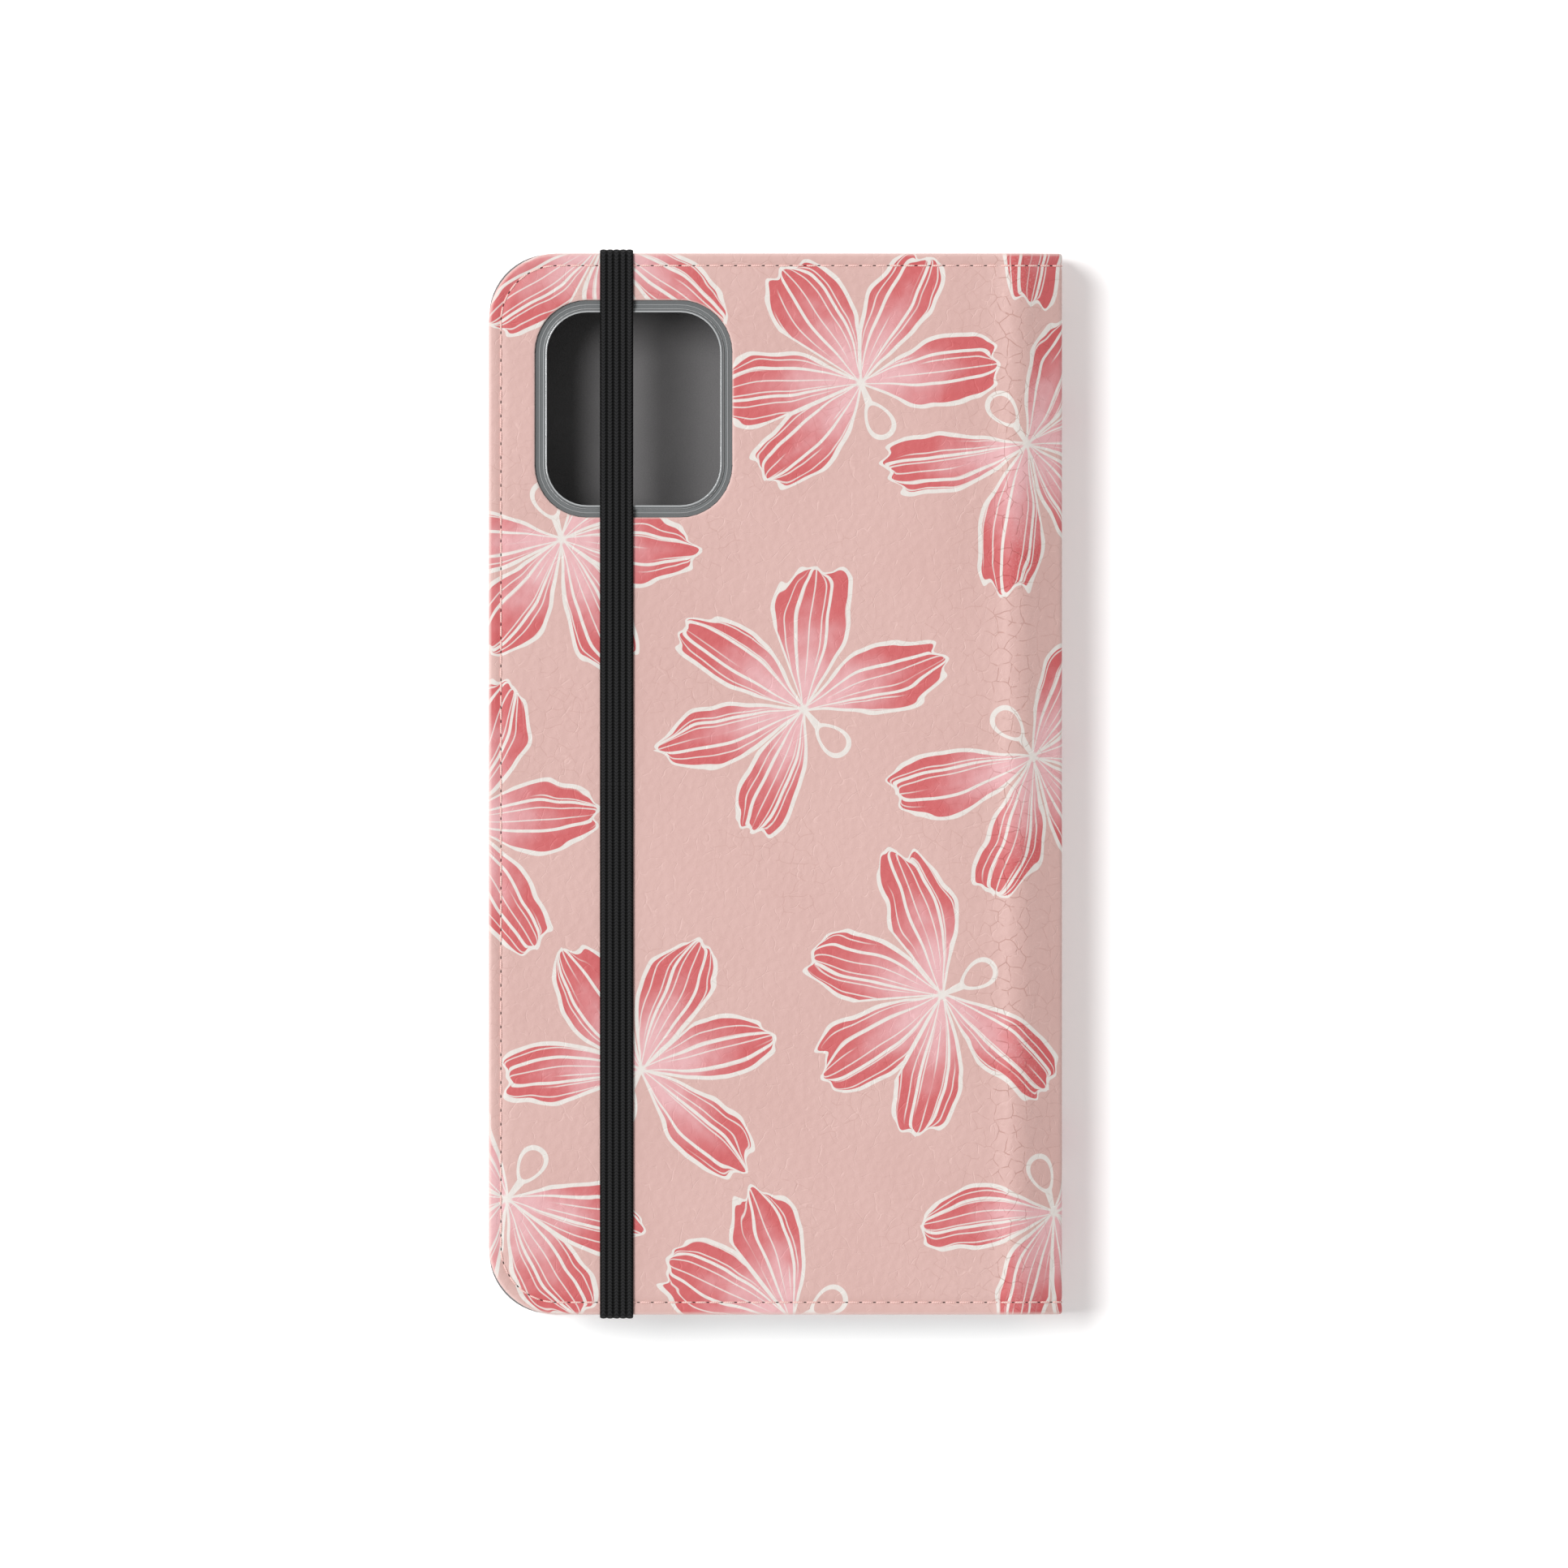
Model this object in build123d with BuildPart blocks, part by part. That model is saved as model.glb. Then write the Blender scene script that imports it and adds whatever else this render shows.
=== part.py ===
from build123d import *
import os

# Book-style folio phone case, closed and lying on its front cover.
# All sizes are in millimetres.
# +Z points up through the back cover, +X points to the spine, +Y to the top of the phone.
# The origin is under the middle of the closed case, on the surface that it lies on.

# ---------------------------------------------------------------- driving sizes
cover_width = 84.3
cover_height = 156.0
case_depth = 17.0
back_corner_radius = 10.0
front_corner_radius = 9.0

skin_thickness = 0.8
board_thickness = 1.0
lining_thickness = 0.5
lining_rim = 0.6

fold_width = 8.15
fold_depth = 3.8
fold_bend_width = 3.4
fold_bend_drop = 0.8
fold_corner_drop = 3.2

phone_width = 75.7
phone_height = 150.9
phone_depth = 8.3
phone_corner_radius = 10.0
phone_centre_x = -1.5
phone_clearance = 0.1

shell_wall = 1.4
shell_back = 1.2
shell_lip = 0.8
lip_reach = 1.2
shell_edge_radius = 1.2
adhesive_thickness = 0.3
adhesive_margin = 4.0

notch_depth = 6.4
power_notch_length = 20.0
power_notch_from_top = 51.0
volume_notch_length = 40.0
volume_notch_from_top = 47.0
port_notch_length = 52.0

camera_width = 29.0
camera_height = 31.9
camera_corner_radius = 7.7
camera_from_fore_edge = 6.8
camera_from_top = 6.9
collar_gap = 0.3
collar_wall = 1.45
collar_recess = 0.5
bead_wall = 0.5
bead_recess = 0.1
bead_round = 0.2

pocket_thickness = 0.35
slip_pocket_mouth_x = 29.0
slip_pocket_margin = 1.0
card_pocket_height = 94.0
card_pocket_centre_y = -13.0
card_pocket_mouths = {"card_pocket_inner": 22.0, "card_pocket_middle": 12.0, "card_pocket_outer": 2.0}
pocket_corner_radius = 6.0

stitch_inset = 1.8
thread_width = 0.4
thread_depth = 0.15
pocket_seam_inset = 1.2
pocket_thread_height = 0.1

band_width = 4.9
band_thickness = 0.6
band_from_fore_edge = 18.8
band_clearance = 0.3
band_end_gap = 0.4
band_end_over = 3.0
band_end_tuck = 5.5

# ---------------------------------------------------------------- worked-out places
half_width = cover_width / 2
half_height = cover_height / 2
fold_start_x = half_width - fold_width
panel_width = cover_width - fold_width
panel_centre_x = -fold_width / 2
lining_depth = board_thickness + lining_thickness

back_skin_z = case_depth - skin_thickness
back_board_z = back_skin_z - board_thickness
back_lining_z = back_board_z - lining_thickness
adhesive_z = back_lining_z - adhesive_thickness
shell_top_z = adhesive_z
cavity_top_z = shell_top_z - shell_back
cavity_bottom_z = cavity_top_z - phone_depth
shell_bottom_z = cavity_bottom_z - shell_lip

front_board_z = skin_thickness
front_lining_z = front_board_z + board_thickness
front_inside_z = front_lining_z + lining_thickness

cavity_width = phone_width + 2 * phone_clearance
cavity_height = phone_height + 2 * phone_clearance
shell_width = cavity_width + 2 * shell_wall
shell_height = cavity_height + 2 * shell_wall

camera_x = -half_width + camera_from_fore_edge + camera_width / 2
camera_y = half_height - camera_from_top - camera_height / 2
collar_width = camera_width - 2 * collar_gap
collar_height = camera_height - 2 * collar_gap
lens_width = collar_width - 2 * collar_wall
lens_height = collar_height - 2 * collar_wall
lens_corner_radius = camera_corner_radius - collar_gap - collar_wall
bead_width = lens_width + 2 * bead_wall
bead_height = lens_height + 2 * bead_wall

band_x = -half_width + band_from_fore_edge
band_z = case_depth + band_clearance
band_half_length = half_height - band_end_over - band_end_gap

os.makedirs("parts", exist_ok=True)


def write(piece, name):
    """Name one finished piece and write it as its own file."""
    piece.label = name
    export_step(piece, f"parts/{name}.step")


def panel_outline(corner_radius, inset=0.0):
    """Cover panel seen from above: square at the fold, rounded at the fore-edge."""
    with Locations((panel_centre_x, 0)):
        Rectangle(panel_width - 2 * inset, cover_height - 2 * inset)
    fore_edge = vertices().group_by(Axis.X)[0]
    fillet(fore_edge, corner_radius - inset)


def camera_hole(width, height, corner_radius, mode=Mode.SUBTRACT):
    """Rounded rectangle over the cameras."""
    with Locations((camera_x, camera_y)):
        RectangleRounded(width, height, corner_radius, mode=mode)


def thread_line(corner_radius):
    """Seam along the top, the fore-edge and the bottom of a cover."""
    outer_inset = stitch_inset - thread_width / 2
    inner_inset = stitch_inset + thread_width / 2
    panel_outline(corner_radius, outer_inset)
    with BuildSketch(mode=Mode.PRIVATE) as inside:
        with Locations((panel_centre_x + stitch_inset, 0)):
            Rectangle(panel_width, cover_height - 2 * inner_inset)
        with Locations((fold_start_x - stitch_inset, 0)):
            Rectangle(4 * stitch_inset, cover_height - 2 * inner_inset)
        fillet(inside.vertices().group_by(Axis.X)[0], corner_radius - inner_inset)
    add(inside.sketch, mode=Mode.SUBTRACT)


# ---------------------------------------------------------------- back cover
# Printed outer skin with the camera cut-out and a shallow groove for the seam.
with BuildPart() as back_skin:
    with BuildSketch(Plane.XY.offset(back_skin_z)):
        panel_outline(back_corner_radius)
        camera_hole(camera_width, camera_height, camera_corner_radius)
    extrude(amount=skin_thickness)
    with BuildSketch(Plane.XY.offset(case_depth)):
        thread_line(back_corner_radius)
    extrude(amount=-thread_depth, mode=Mode.SUBTRACT)
write(back_skin.part, "back_skin")

with BuildPart() as back_stitching:
    with BuildSketch(Plane.XY.offset(case_depth)):
        thread_line(back_corner_radius)
    extrude(amount=-thread_depth)
write(back_stitching.part, "back_stitching")

# Stiffener board, with a recess at each end for the tucked ends of the elastic.
with BuildPart() as back_board:
    with BuildSketch(Plane.XY.offset(back_board_z)):
        panel_outline(back_corner_radius, lining_rim)
        camera_hole(camera_width, camera_height, camera_corner_radius)
    extrude(amount=board_thickness)
    with BuildSketch(Plane.XY.offset(back_board_z)):
        with Locations((band_x, half_height), (band_x, -half_height)):
            Rectangle(band_width, 2 * band_end_tuck)
    extrude(amount=band_thickness, mode=Mode.SUBTRACT)
write(back_board.part, "back_board")

# Lining, turned up round the board, with a gate at each end for the elastic.
with BuildPart() as back_lining:
    with BuildSketch(Plane.XY.offset(back_lining_z)):
        panel_outline(back_corner_radius)
        camera_hole(camera_width, camera_height, camera_corner_radius)
    extrude(amount=lining_depth)
    with BuildSketch(Plane.XY.offset(back_board_z)):
        panel_outline(back_corner_radius, lining_rim)
        with Locations((band_x, 0)):
            Rectangle(band_width, cover_height + 1)
    extrude(amount=board_thickness, mode=Mode.SUBTRACT)
write(back_lining.part, "back_lining")

# Double-sided adhesive sheet between the lining and the phone shell.
with BuildPart() as shell_adhesive:
    with BuildSketch(Plane.XY.offset(adhesive_z)):
        with Locations((phone_centre_x, 0)):
            RectangleRounded(
                shell_width - 2 * adhesive_margin,
                shell_height - 2 * adhesive_margin,
                phone_corner_radius,
            )
        camera_hole(camera_width + 1, camera_height + 1, camera_corner_radius)
    extrude(amount=adhesive_thickness)
write(shell_adhesive.part, "shell_adhesive")

# Hard tray that grips the phone, open towards the front cover.
with BuildPart() as phone_shell:
    with BuildSketch(Plane.XY.offset(shell_bottom_z)):
        with Locations((phone_centre_x, 0)):
            RectangleRounded(shell_width, shell_height, phone_corner_radius + shell_wall)
    extrude(amount=shell_top_z - shell_bottom_z)
    fillet(phone_shell.edges().group_by(Axis.Z)[-1], shell_edge_radius)
    fillet(phone_shell.edges().group_by(Axis.Z)[0], shell_edge_radius / 2)
    with BuildSketch(Plane.XY.offset(cavity_bottom_z)):
        with Locations((phone_centre_x, 0)):
            RectangleRounded(cavity_width, cavity_height, phone_corner_radius)
    extrude(amount=phone_depth, mode=Mode.SUBTRACT)
    with BuildSketch(Plane.XY.offset(shell_bottom_z)):
        with Locations((phone_centre_x, 0)):
            RectangleRounded(
                cavity_width - 2 * lip_reach,
                cavity_height - 2 * lip_reach,
                phone_corner_radius - lip_reach,
            )
    extrude(amount=shell_lip, mode=Mode.SUBTRACT)
    # Open notches for the side button, the volume buttons and the port.
    with BuildSketch(Plane.XY.offset(shell_bottom_z)):
        with Locations((phone_centre_x - cavity_width / 2, phone_height / 2 - power_notch_from_top)):
            Rectangle(4 * shell_wall, power_notch_length)
        with Locations((phone_centre_x + cavity_width / 2, phone_height / 2 - volume_notch_from_top)):
            Rectangle(4 * shell_wall, volume_notch_length)
        with Locations((phone_centre_x, -cavity_height / 2)):
            Rectangle(port_notch_length, 4 * shell_wall)
    extrude(amount=notch_depth, mode=Mode.SUBTRACT)
    # Collar that stands up through the cover around the cameras.
    with BuildSketch(Plane.XY.offset(cavity_top_z)):
        camera_hole(collar_width, collar_height, camera_corner_radius - collar_gap, mode=Mode.ADD)
    extrude(amount=case_depth - collar_recess - cavity_top_z)
    # Raised bead round the collar's inner edge, with a rounded top.
    with BuildSketch(Plane.XY.offset(cavity_top_z)):
        camera_hole(bead_width, bead_height, lens_corner_radius + bead_wall, mode=Mode.ADD)
    extrude(amount=case_depth - bead_recess - cavity_top_z)
    with BuildSketch(Plane.XY.offset(cavity_top_z)):
        camera_hole(lens_width, lens_height, lens_corner_radius, mode=Mode.ADD)
    extrude(amount=case_depth - cavity_top_z, mode=Mode.SUBTRACT)
    fillet(phone_shell.faces().sort_by(Axis.Z)[-1].edges(), bead_round)
write(phone_shell.part, "phone_shell")


# ---------------------------------------------------------------- elastic closure
# The long run lies over the back cover; its two ends go round the cover's edges
# and are tucked between the lining and the board.
with BuildPart() as elastic_band:
    with BuildSketch(Plane.XY.offset(band_z)):
        with Locations((band_x, 0)):
            Rectangle(band_width, 2 * band_half_length)
    extrude(amount=band_thickness)
write(elastic_band.part, "elastic_band")

for end_name, side in (("elastic_end_top", 1), ("elastic_end_bottom", -1)):
    with BuildPart() as elastic_end:
        with BuildSketch(Plane.YZ.offset(band_x - band_width / 2)):
            with BuildLine():
                Polyline(
                    (side * (half_height - band_end_over), band_z),
                    (side * (half_height - band_end_over), band_z + band_thickness),
                    (side * (half_height + band_thickness), band_z + band_thickness),
                    (side * (half_height + band_thickness), back_board_z),
                    (side * (half_height - band_end_tuck), back_board_z),
                    (side * (half_height - band_end_tuck), back_board_z + band_thickness),
                    (side * half_height, back_board_z + band_thickness),
                    (side * half_height, band_z),
                    close=True,
                )
            make_face()
        extrude(amount=band_width)
    write(elastic_end.part, end_name)


# ---------------------------------------------------------------- front cover
with BuildPart() as front_skin:
    with BuildSketch(Plane.XY):
        panel_outline(front_corner_radius)
    extrude(amount=skin_thickness)
    with BuildSketch(Plane.XY):
        thread_line(front_corner_radius)
    extrude(amount=thread_depth, mode=Mode.SUBTRACT)
write(front_skin.part, "front_skin")

with BuildPart() as front_stitching:
    with BuildSketch(Plane.XY):
        thread_line(front_corner_radius)
    extrude(amount=thread_depth)
write(front_stitching.part, "front_stitching")

with BuildPart() as front_board:
    with BuildSketch(Plane.XY.offset(front_board_z)):
        panel_outline(front_corner_radius, lining_rim)
    extrude(amount=board_thickness)
write(front_board.part, "front_board")

with BuildPart() as front_lining:
    with BuildSketch(Plane.XY.offset(front_board_z)):
        panel_outline(front_corner_radius)
    extrude(amount=lining_depth)
    with BuildSketch(Plane.XY.offset(front_board_z)):
        panel_outline(front_corner_radius, lining_rim)
    extrude(amount=board_thickness, mode=Mode.SUBTRACT)
write(front_lining.part, "front_lining")


def pocket_panel(height, centre_y, mouth_x, corner_radius, bottom_z):
    """Flat pocket sheet, closed along the fore-edge and open towards the spine."""
    fore_x = -half_width + slip_pocket_margin
    with BuildPart() as panel:
        with BuildSketch(Plane.XY.offset(bottom_z)):
            with Locations(((fore_x + mouth_x) / 2, centre_y)):
                Rectangle(mouth_x - fore_x, height)
            fillet(vertices().group_by(Axis.X)[0], corner_radius)
        extrude(amount=pocket_thickness)
    return panel.part


# Full-height slip pocket for papers, under three stepped card pockets.
slip_height = cover_height - 2 * slip_pocket_margin
slip_corner = front_corner_radius - slip_pocket_margin
write(pocket_panel(slip_height, 0, slip_pocket_mouth_x, slip_corner, front_inside_z), "slip_pocket")

pocket_z = front_inside_z + pocket_thickness
for pocket_name, mouth in card_pocket_mouths.items():
    card_panel = pocket_panel(card_pocket_height, card_pocket_centre_y, mouth, pocket_corner_radius, pocket_z)
    write(card_panel, pocket_name)
    pocket_z += pocket_thickness

# Seam that closes the card pockets at their top and bottom edges.
seam_end_x = min(card_pocket_mouths.values())
seam_start_x = -half_width + slip_pocket_margin + pocket_corner_radius
with BuildPart() as pocket_stitching:
    with BuildSketch(Plane.XY.offset(pocket_z)):
        seam_reach = card_pocket_height / 2 - pocket_seam_inset
        for side in (1, -1):
            with Locations(((seam_start_x + seam_end_x) / 2, card_pocket_centre_y + side * seam_reach)):
                Rectangle(seam_end_x - seam_start_x, thread_width)
    extrude(amount=pocket_thread_height)
write(pocket_stitching.part, "pocket_stitching")


# ---------------------------------------------------------------- spine
def spine_panel(outer_inset, thickness, end_inset=0.0):
    """Upright panel of the spine, outer_inset in from its outer face."""
    with BuildPart() as panel:
        with BuildSketch(Plane.XY.offset(fold_depth + end_inset)):
            with Locations((half_width - outer_inset - thickness / 2, 0)):
                Rectangle(thickness, cover_height - 2 * end_inset)
        extrude(amount=case_depth - 2 * fold_depth - 2 * end_inset)
    return panel.part


write(spine_panel(0, skin_thickness), "spine_skin")
write(spine_panel(skin_thickness, board_thickness, lining_rim), "spine_board")

with BuildPart() as spine_lining:
    add(spine_panel(skin_thickness, lining_depth))
    add(spine_panel(skin_thickness, board_thickness, lining_rim), mode=Mode.SUBTRACT)
write(spine_lining.part, "spine_lining")


# ---------------------------------------------------------------- folds
def fold_strip(side, outer_inset, thickness):
    """Boardless strip of one layer, from a cover's edge round to the spine.

    side is +1 for the fold at the back cover and -1 for the one at the front cover.
    """
    middle_z = case_depth / 2
    bend_slope = fold_bend_drop / fold_bend_width
    shoulder_slope = (fold_corner_drop - fold_bend_drop) / (fold_width - fold_bend_width)

    def line_points(inset):
        """Flat end, bend, sloping shoulder and upright end, inset from the outer line."""
        bend_x = fold_start_x + fold_bend_width - inset * (bend_slope + shoulder_slope) / 2
        drops = (
            (fold_start_x, inset),
            (bend_x, fold_bend_drop + inset),
            (half_width - inset, fold_corner_drop + inset * (1 - shoulder_slope) / 2),
            (half_width - inset, fold_depth),
        )
        return [(x, middle_z + side * (middle_z - drop)) for x, drop in drops]

    with BuildPart() as strip:
        with BuildSketch(Plane.XZ.offset(-half_height)):
            with BuildLine():
                near = line_points(outer_inset)
                far = line_points(outer_inset + thickness)
                Polyline(*near, *reversed(far), close=True)
            make_face()
        extrude(amount=cover_height)
    return strip.part


for cover_name, side in (("back", 1), ("front", -1)):
    write(fold_strip(side, 0, skin_thickness), f"{cover_name}_fold_skin")
    write(fold_strip(side, skin_thickness, lining_thickness), f"{cover_name}_fold_lining")
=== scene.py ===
"""Looks of a book-style folio phone case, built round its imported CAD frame.

Lengths in this script are in millimetres and become metres as each mesh is made.
+Z points up through the back cover, +X to the spine, +Y to the top of the phone.
"""

import math

import bpy
import numpy as np
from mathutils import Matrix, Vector
from mathutils.geometry import delaunay_2d_cdt


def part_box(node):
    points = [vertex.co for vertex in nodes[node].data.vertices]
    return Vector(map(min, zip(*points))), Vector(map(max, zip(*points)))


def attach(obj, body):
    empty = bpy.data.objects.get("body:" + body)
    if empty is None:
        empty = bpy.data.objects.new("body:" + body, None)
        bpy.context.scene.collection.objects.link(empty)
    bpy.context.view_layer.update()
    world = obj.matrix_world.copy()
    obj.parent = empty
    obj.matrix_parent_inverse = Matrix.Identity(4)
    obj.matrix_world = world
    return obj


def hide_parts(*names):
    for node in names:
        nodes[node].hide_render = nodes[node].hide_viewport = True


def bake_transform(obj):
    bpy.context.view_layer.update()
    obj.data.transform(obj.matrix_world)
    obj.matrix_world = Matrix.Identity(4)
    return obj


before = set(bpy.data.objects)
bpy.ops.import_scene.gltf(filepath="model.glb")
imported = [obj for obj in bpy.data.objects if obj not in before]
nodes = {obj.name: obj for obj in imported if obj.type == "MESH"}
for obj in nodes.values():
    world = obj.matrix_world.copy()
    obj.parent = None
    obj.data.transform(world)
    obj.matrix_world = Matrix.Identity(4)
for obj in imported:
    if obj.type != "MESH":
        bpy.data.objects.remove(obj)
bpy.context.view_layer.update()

MM = 0.001


def box_mm(node):
    """Lowest and highest corner of a CAD node, in millimetres."""
    low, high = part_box(node)
    return low / MM, high / MM


# ---------------- sizes from the frame
skin_low, skin_high = box_mm("back_skin")
fold_low, fold_high = box_mm("back_fold_skin")
board_low, board_high = box_mm("back_board")
lining_low = box_mm("back_lining")[0]
spine_low, spine_high = box_mm("spine_skin")
spine_lining_low = box_mm("spine_lining")[0]
end_low, end_high = box_mm("elastic_end_top")
band_low, band_high = box_mm("elastic_band")

fore_x = skin_low.x
fold_x = fold_low.x
spine_x = fold_high.x
half_height = skin_high.y
case_depth = skin_high.z
middle_z = case_depth / 2
half_spine = (spine_high.z - spine_low.z) / 2
skin = case_depth - skin_low.z
lining_drop = case_depth - lining_low.z
board_drop = case_depth - board_low.z
rim = fold_x - board_high.x

# ---------------- named sizes
# Place of a sheet: the x of its fore-edge, half its height, and the y of its middle.
COVER_PLACE = (fore_x, half_height, 0.0)
# Name, side, corner radius, and whether the camera cut-out goes through it.
COVERS = (("back", 1, 10.0, True), ("front", -1, 9.0, False))
# Ending of the node's name, and material slot, of a cover's two sheets and of the spine's.
SHEETS = (("skin", "printed_leather"), ("lining", "suede_lining"))

CAMERA_CENTRE = (fore_x + 21.3, half_height - 22.85)
CAMERA_SIZE = (29.0, 31.9)
CAMERA_RADIUS = 7.7

BEND_START = 34.6
BEND_LENGTH = 3.0
SHOULDER_TILT = math.radians(28.5)
CORNER_RADIUS = 0.8
CREASE = (24.0, 32.2, 34.8)
CREASE_DEPTH = 0.22

EDGE_ROUND = 0.42
HOLE_ROUND = 0.28
# How much faster the lightened edge, wear and painted highlight, fades away from the cut-out than away
# from the cover's edge.
HOLE_WEAR_AND_HIGHLIGHT = 1.6
LINING_ROUND = 0.3
SEAM_INSET = 1.8
SEAM_DEPTH = 0.14
SEAM_WIDTH = 0.42
# Stitches: pitch, gap between two, thread radius, and the length and width of a needle hole.
WRAP_STITCH = (2.04, 0.42, 0.12, (0.46, 0.27))
POCKET_STITCH = (2.2, 0.4, 0.09, (0.36, 0.2))
PIT_RIM = 0.012
PIT_CROWN = 0.018
PIT_DEPTH = 0.1
SLIP_RADIUS = 8.0
CARD_RADIUS = 6.0
POCKET_GRID = 2.0
POCKET_MARGIN = 3.2
POCKET_HEM = 1.6
POCKET_SEAM = 1.2
POCKET_ROUND = 0.16
POCKET_PRESS = 0.06

LINING_SAG = 0.55
LINING_RISE_POWER = 2.2

GRID = 1.2
SPARE = 0.3 * GRID
ARC_POINTS = 14
ARC_GAP = 0.2
MARGIN = 3.3
# Distances inside a sheet's edge, and outside the camera cut-out, where its mesh has a line of points.
WRAP_LINES = (0.0, 0.04, 0.12, 0.25, 0.45, 0.9, 1.3, 1.55, 1.8, 2.05, 2.4, 3.0)
LINING_LINES = (0.0, 0.06, 0.16, 0.3, rim, rim + 0.02, 1.2, 2.2)
POCKET_LINES = (0.0, 0.05, 0.15, 0.4, 0.8, 1.2, 1.6, 2.4)
MOUTH_LINES = (2.2, 1.9, 1.6, 1.3, 0.9, 0.5, 0.2, 0.08, 0.0)
HOLE_LINES = (0.0, 0.05, 0.14, 0.3, 0.7, 1.3)

# ---------------- camera, light and floor
FRAME_WIDTH = 231.0
CAMERA_SHIFT = 1.26
LENS = 1200.0
SENSOR = 36.0
SUN_DIRECTION = Vector((-0.48, 0.16, 0.88))
SUN_SHARE = 0.86
SUN_SPREAD = math.radians(29)
SKY_ZENITH = 0.34
SKY_HORIZON = 0.9
WHITE = 1.31
FLOOR_REACH = 4000.0
FLOOR_DROP = 0.03


def linear(*values):
    """Linear colour of an sRGB one given in 0 to 255, with alpha."""
    return tuple(((v / 255 + 0.055) / 1.055) ** 2.4 for v in values) + (1.0,)


def lit(*values):
    """Surface colour that shows as this sRGB colour on a flat, fully lit face."""
    return tuple(v / WHITE for v in linear(*values)[:3]) + (1.0,)


def add_object(name, data):
    """An object of this data, placed in the scene."""
    placed = bpy.data.objects.new(name, data)
    bpy.context.scene.collection.objects.link(placed)
    return placed


def make_camera():
    data = bpy.data.cameras.new("camera")
    data.sensor_width = SENSOR
    data.lens = LENS
    distance = FRAME_WIDTH * MM * LENS / SENSOR
    data.clip_start = distance * 0.1
    data.clip_end = distance * 3
    camera = add_object("camera", data)
    camera.location = (CAMERA_SHIFT * MM, 0, distance)
    bpy.context.scene.camera = camera


def make_light():
    data = bpy.data.lights.new("sun", "SUN")
    data.energy = SUN_SHARE * math.pi / SUN_DIRECTION.normalized().z
    data.angle = SUN_SPREAD
    sun = add_object("sun", data)
    sun.rotation_mode = "QUATERNION"
    sun.rotation_quaternion = SUN_DIRECTION.to_track_quat("Z", "Y")


# ---------------- node trees
class Value:
    """A number, vector or colour that varies over a surface. Working on it adds nodes to its tree."""

    def __init__(self, tree, socket):
        self.tree = tree
        self.socket = socket

    def make(self, operation, *others):
        """What a Math node makes of this and the others."""
        inputs = dict(enumerate((self, *others)))
        return result(self.tree, "ShaderNodeMath", inputs, operation=operation)

    def __add__(self, other):
        return self.make("ADD", other)

    def __sub__(self, other):
        return self.make("SUBTRACT", other)

    def __mul__(self, other):
        return self.make("MULTIPLY", other)

    def __truediv__(self, other):
        return self.make("DIVIDE", other)

    def __abs__(self):
        return self.make("ABSOLUTE")

    def over(self, other):
        """The larger of the two."""
        return self.make("MAXIMUM", other)

    def under(self, other):
        """The smaller of the two."""
        return self.make("MINIMUM", other)

    def ramp(self, start, end, low=0.0, high=1.0):
        """Smooth step from low at start to high at end."""
        inputs = dict(enumerate((self, start, end, low, high)))
        return result(self.tree, "ShaderNodeMapRange", inputs, interpolation_type="SMOOTHSTEP")

    def parts(self):
        """The three parts of a vector or a colour."""
        node = add_node(self.tree, "ShaderNodeSeparateXYZ", {"Vector": self})
        return outputs_of(self.tree, node)

    def scaled(self, factor):
        inputs = {0: self, "Scale": factor}
        return result(self.tree, "ShaderNodeVectorMath", inputs, operation="SCALE")

    def noise(self, size, detail=2.0, rough=0.5, dimensions="3D", output="Fac"):
        """Soft noise from 0 to 1 at this place, with features about size wide."""
        inputs = {"Vector": self, "Scale": 1 / size, "Detail": detail, "Roughness": rough}
        return result(self.tree, "ShaderNodeTexNoise", inputs, output, noise_dimensions=dimensions)

    def warped(self, size, amount, dimensions="3D"):
        """This place, pushed about by noise."""
        push = self.noise(size, 1.0, 0.5, dimensions, "Color").scaled(2 * amount)
        return result(self.tree, "ShaderNodeVectorMath", {0: self, 1: push}, operation="ADD")

    def cells(self, size, feature="DISTANCE_TO_EDGE", dimensions="3D"):
        """Distance in cell widths from this place to an edge, or centre, of a network of cells."""
        inputs = {"Vector": self, "Scale": 1 / size}
        settings = {"feature": feature, "voronoi_dimensions": dimensions}
        return result(self.tree, "ShaderNodeTexVoronoi", inputs, "Distance", **settings)

    def mix(self, first, second, blend="MIX"):
        """First colour where this is 0; where it is 1 the second, or what the blend makes of both."""
        inputs = {0: self, 6: first, 7: second}
        return result(self.tree, "ShaderNodeMix", inputs, 2, data_type="RGBA", blend_type=blend)

    def curve(self, points, reach, low, high):
        """Reads a smooth curve through points whose x runs from 0 to reach and y from low to high."""
        node = add_node(self.tree, "ShaderNodeFloatCurve", {"Value": self / reach})
        curve = node.mapping.curves[0]
        while len(curve.points) < len(points):
            curve.points.new(0.5, 0.5)
        for point, (x, y) in zip(curve.points, points):
            point.location = (x / reach, (y - low) / (high - low))
        node.mapping.update()
        return outputs_of(self.tree, node)[0] * (high - low) + low


def plug(tree, socket, value):
    """Links a Value to a socket, or sets the socket to a plain number or colour."""
    if isinstance(value, Value):
        tree.links.new(value.socket, socket)
    else:
        socket.default_value = value


def add_node(tree, kind, inputs=None, **settings):
    node = tree.nodes.new(kind)
    for name, value in settings.items():
        setattr(node, name, value)
    for name, value in (inputs or {}).items():
        plug(tree, node.inputs[name], value)
    return node


def outputs_of(tree, node):
    return [Value(tree, socket) for socket in node.outputs]


def result(tree, kind, inputs=None, output=0, **settings):
    """One output of a new node."""
    return Value(tree, add_node(tree, kind, inputs, **settings).outputs[output])


def pack(x, y, z=0.0):
    """A vector from three numbers."""
    return result(x.tree, "ShaderNodeCombineXYZ", {"X": x, "Y": y, "Z": z})


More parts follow.
